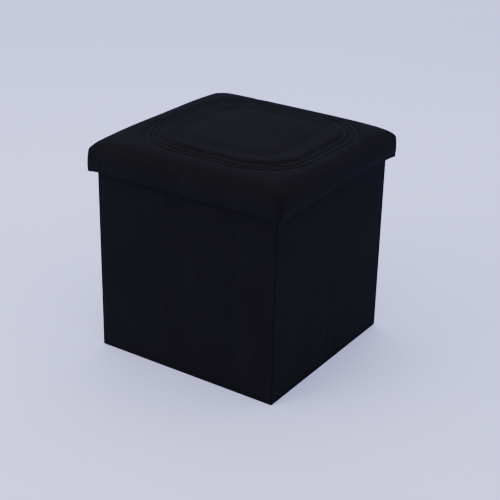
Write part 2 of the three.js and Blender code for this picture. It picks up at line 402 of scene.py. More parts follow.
def thin_solid(outer, inner, cloth):
    """A closed thin body between two grids of points: both faces, and a strip that joins their borders."""
    rows, columns = outer.shape[:2]
    count = rows * columns
    faces = [grid_quads(rows, columns), grid_quads(rows, columns, count)[:, ::-1]]
    edge = border_loop(rows, columns)
    after = np.roll(edge, -1)
    faces.append(np.stack([after, edge, edge + count, after + count], axis=-1))
    points = np.vstack([outer.reshape(-1, 3), inner.reshape(-1, 3)])
    flat = cloth.reshape(-1, 2)
    return points, np.vstack(faces), np.vstack([flat, flat])


WAVES = 6
WAVE_GAIN = 1.6


def soft_waves(first, second, size, seed):
    """Slow unevenness: six sine waves over the two coordinates, with seeded directions and lengths, whose
    sum stays within about the given size."""
    draw = np.random.default_rng(seed)
    total = np.zeros_like(first)
    for _ in range(WAVES):
        angle = draw.uniform(0, math.pi)
        length = draw.uniform(0.045, 0.16)
        phase = draw.uniform(0, 2 * math.pi)
        run = first * math.cos(angle) + second * math.sin(angle)
        total = total + np.sin(run * 2 * math.pi / length + phase)
    return total * (size / WAVES) * WAVE_GAIN


def along_path(first, second):
    """The distance along a line of points from its first point."""
    return np.concatenate([[0], np.cumsum(np.hypot(np.diff(first), np.diff(second)))])


def dress(piece, body):
    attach(piece, body)


# ------------------------------------------------------------------ sizes from the frame

front_low, front_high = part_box("front_cover")
side_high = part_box("right_rear_cover")[1]
binding_low, binding_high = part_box("front_top_binding")
hem_low, hem_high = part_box("bottom_hem_front")
lid_low, lid_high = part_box("lid_cover")
lining_low, lining_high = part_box("lid_lining")
board_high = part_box("lid_board")[1]
insert_low, insert_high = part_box("insert_board")
insert_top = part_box("insert_top_cloth")[1].z
insert_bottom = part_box("insert_bottom_cloth")[0].z
tab_low, tab_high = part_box("insert_pull_tab")

BODY_X = side_high.x
BODY_Y = -front_low.y
WALL_BOTTOM = front_low.z
WALL_TOP = front_high.z
BODY_TOP = binding_high.z
WALL = binding_high.y - binding_low.y
INNER_X = BODY_X - WALL
INNER_Y = BODY_Y - WALL
LID_X = lid_high.x
LID_Y = lid_high.y

# ------------------------------------------------------------------ the lid

RING_HALVES = (134 * MM, 144 * MM, 154 * MM)
RING_CORNER = 52 * MM
RING_SHIFT = (11 * MM, 5 * MM)
RIM_INSET = 8.0 * MM
RIM_WIDTH = 6.0 * MM
RIM_RISE = 2.7 * MM
VALLEY_INSET = 25.0 * MM
VALLEY_WIDTH = 12.0 * MM
VALLEY_SINK = 2.4 * MM
GROOVE_DEPTH = 2.0 * MM
CROWN = 5.0 * MM
EDGE_RUN = 20.0 * MM
EDGE_RISE = 19.0 * MM
EDGE_START = 358.0 * MM
FLAT_HALF = LID_X - EDGE_RUN
CORNER_DROOP = 5.5 * MM
HEM_DIP = 6.0 * MM
HEM_CORNER = 4.0 * MM
FLAT_CORNER = 34.0 * MM
PLAN_CORNER = 13.0 * MM
HEM_ROUND = 2.6 * MM
BAND_TUCK = 2.2 * MM
THROAT_GAP = 1.2 * MM
GROOVE_FALL_IN = 3.0 * MM
GROOVE_FALL_OUT = 4.2 * MM
BAND_SEAM_DEPTH = 0.9 * MM
BAND_SEAM_WIDTH = 2.0 * MM
HOLLOW_GAP = 0.25 * MM


def rounded_path(half, radius, turn):
    """Points round a square with round corners. The turn runs from 0 to 4, one side for each unit, from
    the middle of one corner to the middle of the next, in equal steps of length: half an arc, a straight,
    half an arc."""
    radius = np.maximum(radius, 1e-9)
    side = np.floor(turn).astype(int) % 4
    arc = math.pi / 4 * radius
    straight = 2 * (half - radius)
    run = (turn - np.floor(turn)) * (2 * arc + straight)
    first_angle = run / radius - math.pi / 4
    last_angle = (run - arc - straight) / radius
    centre = half - radius
    on_first = run < arc
    on_last = run > arc + straight
    x = np.where(on_first, centre + radius * np.cos(first_angle), half)
    x = np.where(on_last, centre + radius * np.cos(last_angle), x)
    y = np.where(on_first, -centre + radius * np.sin(first_angle), run - arc - centre)
    y = np.where(on_last, centre + radius * np.sin(last_angle), y)
    for _ in range(3):
        turned = side > 0
        x, y = np.where(turned, -y, x), np.where(turned, x, y)
        side = side - 1
    return x, y


def square_shells(shells):
    """A square grid of points: the number of the square shell each lies on, and how far round it, from 0
    to 4."""
    step = np.arange(-shells, shells + 1, dtype=float)
    across, along = np.meshgrid(step, step)
    shell = np.maximum(np.abs(across), np.abs(along))
    safe = np.maximum(shell, 1.0)
    sides = [across == shell, along == shell, across == -shell]
    turns = [(along / safe + 1) / 2, 1 + (1 - across / safe) / 2, 2 + (1 - along / safe) / 2]
    turn = np.select(sides, turns, 3 + (across / safe + 1) / 2)
    return shell.astype(int), np.where(turn >= 4, 0.0, turn)


def spread(*stretches):
    """Values through given stops, each stretch cut into its own number of equal steps."""
    values = [np.array([stretches[0][0]])]
    for (start, _), (stop, steps) in zip(stretches[:-1], stretches[1:]):
        values.append(np.linspace(start, stop, steps + 1)[1:])
    return np.concatenate(values)


def lid_profile():
    """The lid's skin from the middle of its top to the lip of its throat, shell by shell: half size,
    corner radius, height and distance along the skin; and how many of the shells make the top."""
    top = spread((0, 0), (114 * MM, 28), (128 * MM, 8), (158 * MM, 30), (FLAT_HALF, 6))
    ring_in, ring_out = RING_HALVES[0], RING_HALVES[-1]
    inner_radius = top * ((ring_in - RING_CORNER) / ring_in)
    outer_radius = ring_out - RING_CORNER
    share = np.clip((top - ring_out) / (FLAT_HALF - ring_out), 0, 1)
    radius = np.where(top < ring_in, inner_radius, top - RING_CORNER)
    radius = np.where(top > ring_out, outer_radius + (FLAT_CORNER - outer_radius) * share, radius)
    angle = np.linspace(0, math.pi / 2, 10)[1:]
    edge_half = FLAT_HALF + EDGE_RUN * np.sin(angle)
    edge_height = EDGE_START + EDGE_RISE * np.cos(angle)
    edge_radius = FLAT_CORNER + (PLAN_CORNER - FLAT_CORNER) * np.sin(angle)
    band_height = np.linspace(EDGE_START, lid_low.z + HEM_ROUND, 9)[1:]
    tuck = BAND_TUCK * ((EDGE_START - band_height) / (EDGE_START - lid_low.z)) ** 2
    band_half = LID_X - tuck
    hem_angle = np.linspace(0, math.pi / 2, 5)[1:]
    hem_half = band_half[-1] - HEM_ROUND * (1 - np.cos(hem_angle))
    hem_height = lid_low.z + HEM_ROUND * (1 - np.sin(hem_angle))
    under_half = np.linspace(hem_half[-1], lining_high.x - THROAT_GAP, 4)[1:]
    under_height = np.full(3, lid_low.z)
    half = np.concatenate([top, edge_half, band_half, hem_half, under_half])
    top_height = np.full(len(top), EDGE_START + EDGE_RISE)
    height = np.concatenate([top_height, edge_height, band_height, hem_height, under_height])
    lower = height[len(top) + len(edge_half):]
    lower_radius = HEM_CORNER + (PLAN_CORNER - HEM_CORNER) * (lower - lid_low.z) / (EDGE_START - lid_low.z)
    radius = np.concatenate([radius, edge_radius, lower_radius])
    return half, radius, height, along_path(half, height), len(top)


def quilting(half):
    """How far the stitched rings pull the top down, by half size: nothing far from a ring, the full depth
    on it, and a round ridge between two."""
    inner, middle, outer = RING_HALVES
    inside = -GROOVE_DEPTH * np.exp(-(inner - half) / GROOVE_FALL_IN)
    outside = -GROOVE_DEPTH * np.exp(-(half - outer) / GROOVE_FALL_OUT)
    way = np.clip((half - inner) / (middle - inner), 0, 2) % 1.0
    ridge = GROOVE_DEPTH * (np.sin(math.pi * way) ** 0.7 * 1.05 - 1.0)
    return np.where(half < inner, inside, np.where(half > outer, outside, ridge))


def lid_skin():
    """Points of the lid's skin on a square grid of shells, and their places on the flat cloth. The
    stitched rings sit a little off the middle, which fades out towards the edge. On the top, the height
    adds a crown, 1 - (x/a)^3.4 times 1 - (y/b)^3.4, the quilting, and a droop towards the corners. The
    hem dips a little at each corner."""
    half, radius, height, distance, top_count = lid_profile()
    shell, turn = square_shells(len(half) - 1)
    x, y = rounded_path(half[shell], radius[shell], turn)
    ratio = LID_Y / LID_X
    within = np.clip((FLAT_HALF - half[shell]) / (FLAT_HALF - RING_HALVES[-1]), 0, 1)
    x = x + RING_SHIFT[0] * within
    y = y * ratio + RING_SHIFT[1] * within
    flat_y = FLAT_HALF * ratio
    on_x = np.clip(np.abs(x) / FLAT_HALF, 0, 1)
    on_y = np.clip(np.abs(y) / flat_y, 0, 1)
    crown = CROWN * (1 - on_x ** 3.4) * (1 - on_y ** 3.4)
    droop = -CORNER_DROOP * (on_x * on_y) ** 5
    fade = np.clip((height[shell] - EDGE_START) / EDGE_RISE, 0, 1)
    pulled = np.where(shell < top_count, quilting(half[shell]), 0.0)
    low = np.clip((EDGE_START - height[shell]) / (EDGE_START - lid_low.z), 0, 1)
    low = low * (half[shell] > LID_X - 8 * MM)
    dip = -HEM_DIP * low * (np.abs(x / LID_X) * np.abs(y / LID_Y)) ** 10
    z = height[shell] + crown * (shell < top_count) + droop * fade + dip + pulled
    grown = np.where(np.arange(len(half)) < top_count, half, FLAT_HALF + distance - distance[top_count - 1])
    cloth_x, cloth_y = rounded_path(grown[shell], np.minimum(radius, grown)[shell], turn)
    points = np.stack([x, y, z], axis=-1)
    cloth = np.stack([cloth_x + RING_SHIFT[0] * within, cloth_y + RING_SHIFT[1] * within], axis=-1)
    return points, cloth, shell, turn, half


STUFFING = {
    "quality": 6,
    "mass": 0.15,
    "tension_stiffness": 14.0,
    "compression_stiffness": 10.0,
    "shear_stiffness": 5.0,
    "bending_stiffness": 0.8,
    "shrink_min": 0.0,
    "use_pressure": True,
    "uniform_pressure_force": 1.6,
    "vertex_group_mass": "held",
}
STUFFING_STEPS = 24
STUFFING_SCALE = 10.0
STUFFING_LIMIT = 2.2 * MM
HELD_HEM = 8 * MM


def puff(points, held):
    """Cloth simulation of a skin under light stuffing pressure, in tenfold size so that the solver's
    lengths suit it. Held points stay. No point moves further than the limit."""
    flat = points.reshape(-1, 3)
    mesh = bpy.data.meshes.new("lid_stuffing")
    mesh.from_pydata((flat * STUFFING_SCALE).tolist(), [], grid_quads(*points.shape[:2]).tolist())
    skin = bpy.data.objects.new("lid_stuffing", mesh)
    scene.collection.objects.link(skin)
    group = skin.vertex_groups.new(name="held")
    group.add(np.flatnonzero(held.ravel()).tolist(), 1.0, "REPLACE")
    modifier = skin.modifiers.new("stuffing", "CLOTH")
    for setting, value in STUFFING.items():
        setattr(modifier.settings, setting, value)
    modifier.settings.effector_weights.gravity = 0.0
    modifier.collision_settings.use_collision = False
    modifier.point_cache.frame_start = 1
    modifier.point_cache.frame_end = STUFFING_STEPS
    for step in range(1, STUFFING_STEPS + 1):
        scene.frame_set(step)
    settled = skin.evaluated_get(bpy.context.evaluated_depsgraph_get()).to_mesh()
    moved = np.empty(len(flat) * 3)
    settled.vertices.foreach_get("co", moved)
    moved = moved.reshape(-1, 3) / STUFFING_SCALE
    scene.frame_set(1)
    bpy.data.objects.remove(skin)
    shift = moved - flat
    length = np.linalg.norm(shift, axis=1, keepdims=True)
    shift = shift * np.minimum(1.0, STUFFING_LIMIT / np.maximum(length, 1e-12))
    return (flat + shift).reshape(points.shape)


def roll_rim(points, half):
    """Lifts a roll just inside the innermost ring and sinks a valley further in, so that the field swells
    again towards the middle. Each is exp(-(d/w)^2) of the distance to its own line."""
    crest = RING_HALVES[0] - RIM_INSET
    valley = crest - VALLEY_INSET
    roll = RIM_RISE * np.exp(-(((half - crest) / RIM_WIDTH) ** 2))
    dip = VALLEY_SINK * np.exp(-(((half - valley) / VALLEY_WIDTH) ** 2))
    lifted = points.copy()
    lifted[..., 2] += roll - dip
    return lifted


def sew_band_corners(points, turn):
    """A narrow upright crease at each corner of the band, where two lengths of it are sewn: each point
    moves in along the diagonal by the seam's depth times exp(-(d/w)^2), d its distance from the corner
    along the band."""
    from_corner = np.abs(turn - np.round(turn)) * 2 * LID_X
    on_band = np.clip((EDGE_START + 4 * MM - points[..., 2]) / (10 * MM), 0, 1)
    on_band = on_band * (np.maximum(np.abs(points[..., 0]) / LID_X, np.abs(points[..., 1]) / LID_Y) > 0.96)
    sunk = BAND_SEAM_DEPTH * np.exp(-((from_corner / BAND_SEAM_WIDTH) ** 2)) * on_band
    inward = np.stack([-np.sign(points[..., 0]), -np.sign(points[..., 1]), np.zeros(turn.shape)], axis=-1)
    return points + inward * sunk[..., None]


def make_lid(material):
    """The padded cover over the lid's board and rim: the skin, and a hollow below it that they fill. Gives
    back the skin's points, shells, turns and half sizes for its stitches."""
    points, cloth, shell, turn, half = lid_skin()
    ring_shells = [int(np.argmin(np.abs(half - ring))) for ring in RING_HALVES]
    held = np.isin(shell, ring_shells) | (points[..., 2] < lid_low.z + HELD_HEM)
    points = puff(points, held)
    points = roll_rim(points, half[shell])
    points = sew_band_corners(points, turn)
    rows, columns = shell.shape
    count = rows * columns
    faces = [grid_quads(rows, columns)]
    edge = border_loop(rows, columns)
    edge_turn = turn.reshape(-1)[edge]
    wall = board_high.x + HOLLOW_GAP
    throat_corner = 8 * MM
    wall_corner = 12.6 * MM
    inner_levels = [
        (half[-1], lining_low.z - HOLLOW_GAP, throat_corner),
        (wall, lining_low.z - HOLLOW_GAP, wall_corner),
        (wall, board_high.z + HOLLOW_GAP, wall_corner),
    ]
    stack = [points.reshape(-1, 3)]
    cloths = [cloth.reshape(-1, 2)]
    before = edge
    next_number = count
    ratio = (board_high.y + HOLLOW_GAP) / wall
    for level_half, level, corner in inner_levels:
        x, y = rounded_path(np.full(len(edge), level_half), np.full(len(edge), corner), edge_turn)
        stack.append(np.stack([x, y * ratio, np.full(len(edge), level)], axis=-1))
        cloths.append(np.stack([x, y], axis=-1))
        ring = next_number + np.arange(len(edge))
        faces.append(np.stack([before, ring, np.roll(ring, -1), np.roll(before, -1)], axis=-1))
        before = ring
        next_number += len(edge)
    stack.append(np.array([[0, 0, inner_levels[-1][1]]]))
    cloths.append(np.zeros((1, 2)))
    centre = np.full(len(edge), next_number)
    faces.append(np.stack([centre, np.roll(before, -1), before, centre], axis=-1))
    piece = make_piece("lid_cushion", np.vstack(stack), np.vstack(faces), np.vstack(cloths), material)
    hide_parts("lid_cover", "lid_foam")
    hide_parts(*[f"lid_side_pad_{side}" for side in ("front", "rear", "right", "left")])
    dress(piece, "lid")
    return points, shell, turn, half


# ------------------------------------------------------------------ stitches

STITCH = 3.4 * MM
STITCH_GAP = 1.0 * MM
THREAD_RADIUS = 0.42 * MM


def stitches(name, centres, tangents, normals, material):
    """A row of stitches. Each is a half-buried bead of thread: its section is a circle whose radius is
    the thread's times sqrt(1 - t^4) along it, and it arches by half that towards the normal."""
    along = np.linspace(-1, 1, 7)
    around = np.arange(8) * (2 * math.pi / 8)
    t, angle = np.meshgrid(along, around, indexing="ij")
    radius = THREAD_RADIUS * np.sqrt(np.maximum(1 - t ** 4, 0.02))
    binormals = np.cross(tangents, normals)
    local_x = t * STITCH / 2
    local_y = radius * np.cos(angle)
    local_z = radius * np.sin(angle) + THREAD_RADIUS * 0.5 * (1 - t ** 2)
    points = (
        centres[:, None, None, :]
        + local_x[None, ..., None] * tangents[:, None, None, :]
        + local_y[None, ..., None] * binormals[:, None, None, :]
        + local_z[None, ..., None] * normals[:, None, None, :]
    )
    one = points.shape[1] * points.shape[2]
    quads = grid_quads(len(along), len(around), wrap_columns=True)
    ends = []
    for ring, flip in ((0, 1), (len(along) - 1, -1)):
        number = ring * len(around) + np.arange(len(around))
        fan = [number[[0, 0, 0]], number[[1, 3, 5]], number[[2, 4, 6]], number[[3, 5, 7]]]
        ends.append(np.stack(fan, axis=-1)[:, ::flip])
    pattern = np.vstack([quads, *ends])
    faces = (pattern[None] + one * np.arange(len(centres))[:, None, None]).reshape(-1, 4)
    cloth = np.stack([np.broadcast_to(local, points.shape[:-1]) for local in (local_x, local_y)], axis=-1)
    return make_piece(name, points.reshape(-1, 3), faces, cloth.reshape(-1, 2), material)


def along_line(start, stop, normal):
    """Stitch centres, tangents and normals in a straight row between two points."""
    start, stop = np.array(start, float), np.array(stop, float)
    run = np.linalg.norm(stop - start)
    count = max(int(run / (STITCH + STITCH_GAP)), 1)
    share = (np.arange(count) + 0.5) / count
    centres = start + (stop - start) * share[:, None]
    tangents = np.tile((stop - start) / run, (count, 1))
    return centres, tangents, np.tile(np.array(normal, float), (count, 1))


def make_ring_stitches(points, shell, turn, half, material):
    """Three rows of stitches in the bottoms of the lid's stitched rings."""
    rows = []
    for ring in RING_HALVES:
        number = int(np.argmin(np.abs(half - ring)))
        on_ring = shell == number
        order = np.argsort(turn[on_ring])
        path = points[on_ring][order]
        path = np.vstack([path, path[:1]])
        steps = np.linalg.norm(np.diff(path, axis=0), axis=1)
        distance = np.concatenate([[0], np.cumsum(steps)])
        count = int(distance[-1] / (STITCH + STITCH_GAP))
        where = (np.arange(count) + 0.5) * distance[-1] / count
        centres = np.stack([np.interp(where, distance, path[:, axis]) for axis in range(3)], axis=-1)
        ahead = np.stack([np.interp(where + 0.5 * MM, distance, path[:, axis]) for axis in range(3)], axis=-1)
        tangents = ahead - centres
        tangents = tangents / np.linalg.norm(tangents, axis=1, keepdims=True)
        rows.append((centres, tangents))
    centres = np.vstack([row[0] for row in rows])
    tangents = np.vstack([row[1] for row in rows])
    normals = np.tile([0.0, 0.0, 1.0], (len(centres), 1))
    normals = normals - tangents * np.einsum("ij,ij->i", normals, tangents)[:, None]
    piece = stitches("lid_ring_stitches", centres, tangents, normals, material)
    dress(piece, "lid")


# ------------------------------------------------------------------ the walls

CORNER_REACH = 5.0 * MM
CORNER_ROUND = 2.6 * MM
CREASE_REACH = 5.0 * MM
PUFF = 0.9 * MM
PUFF_MARGIN = 26 * MM
BINDING_DEPTH = 8.3 * MM
STITCH_FREE_END = 16 * MM
STITCH_END = 3 * MM
COVER_STEP = 3 * MM
COVER_ROWS = 110
COVER_ROLL = 1.1 * MM
COVER_THICKNESS = 1.35 * MM
COVER_WAVES = 0.45 * MM
STRIP_ROWS = 60
STRIP_THICKNESS = 0.8 * MM
SEAM_DEPTH = 0.7 * MM
SEAM_WIDTH = 0.8 * MM
UNDER_SINK = 0.9 * MM
CREASE_DEPTH = 0.55 * MM
CREASE_WIDTH = 1.1 * MM
CREASE_THICKNESS = 0.7 * MM
INNER_HINGE_REACH = 8 * MM
SIDE_REACH = INNER_Y - 1 * MM
HINGE_LEVEL = 0.17
WALLS = {
    # name: (body, way along, way out, distance out, where the cloth starts along the wall, where it stops)
    "front": ("base_and_front_wall", (1, 0), (0, -1), BODY_Y, -BODY_X + CORNER_REACH, BODY_X - CORNER_REACH),
    "rear": ("rear_wall", (-1, 0), (0, 1), BODY_Y, -BODY_X + CORNER_REACH, BODY_X - CORNER_REACH),
    "right_front": ("right_front", (0, 1), (1, 0), BODY_X, -SIDE_REACH, -CREASE_REACH),
    "right_rear": ("right_rear", (0, 1), (1, 0), BODY_X, CREASE_REACH, SIDE_REACH),
    "left_front": ("left_front", (0, -1), (-1, 0), BODY_X, CREASE_REACH, SIDE_REACH),
    "left_rear": ("left_rear", (0, -1), (-1, 0), BODY_X, -SIDE_REACH, -CREASE_REACH),
}
CORNER_RUN = CORNER_REACH - CORNER_ROUND + math.pi / 2 * CORNER_ROUND + (BODY_Y - CORNER_ROUND) - SIDE_REACH
FRONT_TO_SIDE = BODY_X - CORNER_REACH + CORNER_RUN + SIDE_REACH
SIDE_START = {"front": 0.0, "right": FRONT_TO_SIDE, "rear": 2 * FRONT_TO_SIDE, "left": -FRONT_TO_SIDE}


def place(way, out, along, outward, height):
    """Points from how far along a wall, how far out from the middle of the body, and how high."""
    return np.stack([along * way[0] + outward * out[0], along * way[1] + outward * out[1], height], axis=-1)


def eased(share, steepness):
    """Rises from 0 to 1 off either end of a span given as 0 to 1: t^2 (3 - 2t) of the distance in from
    the nearer end times the steepness, held at 1."""
    t = np.clip(np.minimum(share, 1 - share) * steepness, 0, 1)
    return t * t * (3 - 2 * t)


def make_wall_cover(name, seed, material):
    """A wall's cloth over its board: it stands proud by the puff, eased in from all four edges, with slow
    unevenness, and its lower edge is rolled under by a quarter circle."""
    body, way, out, distance, start, stop = WALLS[name]
    side = name.split("_")[0]
    columns = int((stop - start) / COVER_STEP) + 1
    roll_steps = np.linspace(0, math.pi / 2, 5)[:-1]
    rolled = WALL_BOTTOM + COVER_ROLL * (1 - np.cos(roll_steps))
    heights = np.concatenate([rolled, np.linspace(WALL_BOTTOM + COVER_ROLL, WALL_TOP, COVER_ROWS)])
    sunk = np.concatenate([COVER_ROLL * (1 - np.sin(roll_steps)), np.zeros(COVER_ROWS)])
    along, height = np.meshgrid(np.linspace(start, stop, columns), heights)
    across_share = (along - start) / (stop - start)
    up_share = np.clip((height - WALL_BOTTOM) / (WALL_TOP - WALL_BOTTOM), 0, 1)
    window = eased(across_share, (stop - start) / PUFF_MARGIN)
    window = window * eased(up_share, (WALL_TOP - WALL_BOTTOM) / PUFF_MARGIN)
    proud = PUFF * window + soft_waves(along, height, COVER_WAVES, seed) * window
    outer = place(way, out, along, distance + proud - sunk[:, None], height)
    inner = place(way, out, along, np.full_like(along, distance - COVER_THICKNESS), height)
    cloth = np.stack([SIDE_START[side] + along, height], axis=-1)
    piece = make_piece(f"{name}_cloth", *thin_solid(outer, inner, cloth), material)
    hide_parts(f"{name}_cover")
    stop - start
    dress(piece, body)


def corner_path(reach_front, reach_side):
    """The line of the cloth round a body corner, in the quarter where both coordinates are positive:
    along the front face, a quarter circle, along the side face. A seam sinks it in a narrow groove at the
    middle."""
    first = np.linspace(BODY_X - reach_front, BODY_X - CORNER_ROUND, 4)
    angle = np.linspace(0, math.pi / 2, 13)[1:-1]
    last = np.linspace(BODY_Y - CORNER_ROUND, reach_side, 6)
    centre_x, centre_y = BODY_X - CORNER_ROUND, BODY_Y - CORNER_ROUND
    arc_x = centre_x + CORNER_ROUND * np.sin(angle)
    arc_y = centre_y + CORNER_ROUND * np.cos(angle)
    x = np.concatenate([first, arc_x, np.full(len(last), BODY_X)])
    y = np.concatenate([np.full(len(first), BODY_Y), arc_y, last])
    run = along_path(x, y)
    middle = (reach_front - CORNER_ROUND) + math.pi / 4 * CORNER_ROUND
    groove = SEAM_DEPTH * np.exp(-(((run - middle) / SEAM_WIDTH) ** 2))
    away_x, away_y = np.gradient(y), -np.gradient(x)
    length = np.hypot(away_x, away_y)
    normal_x, normal_y = -away_x / length, -away_y / length
    return x - normal_x * groove, y - normal_y * groove, normal_x, normal_y, run


def corner_strip(name, sign_x, sign_y, reach_front, reach_side, sink, cloth_start, cloth_way, material):
    """A wall corner's cloth: the corner path carried up the wall, as a thin sheet."""
    x, y, normal_x, normal_y, run = corner_path(reach_front, reach_side)
    heights = np.linspace(WALL_BOTTOM, WALL_TOP, STRIP_ROWS)
    grid_x, height = np.meshgrid(x - normal_x * sink, heights)
    grid_y = np.broadcast_to(y - normal_y * sink, grid_x.shape)
    outer = np.stack([sign_x * grid_x, sign_y * grid_y, height], axis=-1)
    inner_x = grid_x - normal_x * STRIP_THICKNESS
    inner_y = grid_y - normal_y * STRIP_THICKNESS
    inner = np.stack([sign_x * inner_x, sign_y * inner_y, height], axis=-1)
    cloth = np.stack([cloth_start + cloth_way * np.broadcast_to(run, grid_x.shape), height], axis=-1)
    return make_piece(name, *thin_solid(outer, inner, cloth), material)


def make_corners(material):
    """The four upright corners. Three are left in place, attached to no body. At the left rear, where the
    folding ring is open, one strip rides on the rear wall and a second lies under it on the side."""
    edge = BODY_X - CORNER_REACH
    rear = SIDE_START["rear"]
    for name, sign_x, sign_y, first, second, cloth_start, cloth_way in (
        ("corner_front_right", 1, -1, "base_and_front_wall", "right_front", edge, 1),
        ("corner_front_left", -1, -1, "base_and_front_wall", "left_front", -edge, -1),
        ("corner_rear_right", 1, 1, "rear_wall", "right_rear", rear - edge, -1),
    ):
        signs = (sign_x, sign_y)
        piece = corner_strip(name, *signs, CORNER_REACH, SIDE_REACH, 0.0, cloth_start, cloth_way, material)
        start = (sign_x * edge, sign_y * BODY_Y, HINGE_LEVEL)
        end = (sign_x * BODY_X, sign_y * (INNER_Y + 0.3 * MM), HINGE_LEVEL)
        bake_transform(piece)
        parts = name.split("_")
        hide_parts(f"corner_seam_{parts[1]}_{parts[2]}")
    reach = (CORNER_REACH, INNER_Y + 1 * MM)
    over = corner_strip("corner_rear_left", -1, 1, *reach, 0.0, rear + edge, 1, material)
    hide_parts("corner_seam_rear_left")
    dress(over, "rear_wall")
    reach = (CORNER_REACH - 2 * MM, SIDE_REACH)
    under = corner_strip("corner_rear_left_under", -1, 1, *reach, UNDER_SINK, rear + edge, 1, material)
    dress(under, "left_rear")


def make_creases(cover, lining):
    """The middle fold of each side wall: outside, a strip with a groove exp(-(d/w)^2) pressed along it;
    inside, a hinge cloth over the linings' edges."""
    for name, side in (("right", 1), ("left", -1)):
        across = np.linspace(-CREASE_REACH, CREASE_REACH, 21)
        heights = np.linspace(WALL_BOTTOM, WALL_TOP, STRIP_ROWS)
        along, height = np.meshgrid(across, heights)
        groove = CREASE_DEPTH * np.exp(-((along / CREASE_WIDTH) ** 2))
        outer = np.stack([side * (BODY_X - groove), along, height], axis=-1)
        inner = np.stack([side * (BODY_X - groove - CREASE_THICKNESS), along, height], axis=-1)
        cloth = np.stack([SIDE_START[name] + side * along, height], axis=-1)
        piece = make_piece(f"{name}_crease_cloth", *thin_solid(outer, inner, cloth), cover)
        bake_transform(piece)
        across = np.linspace(-INNER_HINGE_REACH, INNER_HINGE_REACH, 25)
        along, height = np.meshgrid(across, heights)
        edge = np.clip((INNER_HINGE_REACH - np.abs(along)) / (1.0 * MM), 0, 1)
        outer = np.stack([side * (INNER_X - 0.08 * MM - 0.3 * MM * edge), along, height], axis=-1)
        inner = np.stack([side * (INNER_X - 0.04 * MM) * np.ones_like(along), along, height], axis=-1)
        cloth = np.stack([along, height], axis=-1)
        piece = make_piece(f"{name}_inner_hinge_cloth", *thin_solid(outer, inner, cloth), lining)
        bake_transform(piece)


TAPE_LEGS = BODY_TOP - BINDING_DEPTH
TAPE_HALF = WALL / 2 + 0.35 * MM
TAPE_THICKNESS = 0.3 * MM
TAPE_BEND = 2.2 * MM
TAPE_END = 6 * MM
TAPE_STEPS = 40
TAPE_PRESSED = 0.38 * MM
TAPE_STITCH_RISE = 1.8 * MM
END_GAP = 0.2 * MM
CREASE_GAP = 0.35 * MM
NO_CREASE = 10.0


def tape_section(half, rise):
    """A U over the wall's top: two straight legs, and between them half an ellipse of the given rise."""
    bend = np.linspace(0, math.pi, 13)
    turn_level = BODY_TOP - TAPE_BEND
    leg = np.linspace(TAPE_LEGS, turn_level, 4)[:-1]
    outward = np.concatenate([np.full(3, half), half * np.cos(bend), np.full(3, -half)])
    level = np.concatenate([leg, turn_level + rise * np.sin(bend), leg[::-1]])
    return outward, level


def make_bindings(material, thread):
    """Tape folded over the top of each wall: the U carried along the wall, closed at both ends and
    pressed flat next to a crease, with a row of stitches on each leg."""
    outward, level = tape_section(TAPE_HALF, TAPE_BEND)
    inner_out, inner_level = tape_section(TAPE_HALF - TAPE_THICKNESS, 1.5 * MM)
    run = along_path(outward, level)
    for name, (body, way, out, distance, start, stop) in WALLS.items():
        whole = name in ("front", "rear")
        if whole:
            start, stop = -BODY_X + END_GAP, BODY_X - END_GAP
        elif start < 0:
            start, stop = -INNER_Y + CREASE_GAP, -CREASE_GAP
        else:
            start, stop = CREASE_GAP, INNER_Y - CREASE_GAP
        centre = distance - WALL / 2
        fine = spread((0, 0), (TAPE_END, 6))
        coarse = np.linspace(start, stop, TAPE_STEPS)[2:-2]
        steps = np.concatenate([start + fine, coarse, stop - fine[::-1]])
        along, grid_out = np.meshgrid(steps, outward, indexing="ij")
        crease_end = NO_CREASE if whole else (start if start > 0 else stop)
        near_crease = np.clip(1 - np.abs(along - crease_end) / TAPE_END, 0, 1)
        pressed = TAPE_PRESSED * near_crease * (grid_out > 0)
        grid_out = grid_out - pressed
        outer = place(way, out, along, centre + grid_out, np.broadcast_to(level, along.shape))
        inner_grid = inner_out - pressed
        inner_grid[[0, -1]] *= 0.02
        inner = place(way, out, along, centre + inner_grid, np.broadcast_to(inner_level, along.shape))
        cloth = np.stack([along, np.broadcast_to(run, along.shape)], axis=-1)
        piece = make_piece(f"{name}_top_tape", *thin_solid(outer, inner, cloth), material)
        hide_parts(f"{name}_top_binding")
        dress(piece, body)
        rows = []
        stitch_level = TAPE_LEGS + TAPE_STITCH_RISE
        first = start + (STITCH_FREE_END if start == crease_end else STITCH_END)
        last = stop - (STITCH_FREE_END if stop == crease_end else STITCH_END)
        for face, sign in ((centre + TAPE_HALF, 1), (centre - TAPE_HALF, -1)):
            ends = [place(way, out, a, face, stitch_level) for a in (first, last)]
            rows.append(along_line(*ends, (sign * out[0], sign * out[1], 0)))
        joined = [np.vstack([row[part] for row in rows]) for part in range(3)]
        dress(stitches(f"{name}_top_stitches", *joined, thread), body)


def narrowed(y, half, less):
    """A square path's y, made narrower by the same length on both sides, eased in from the middle."""
    return np.sign(y) * (np.abs(y) - less * np.clip(np.abs(y) / (half * 0.5), 0, 1))


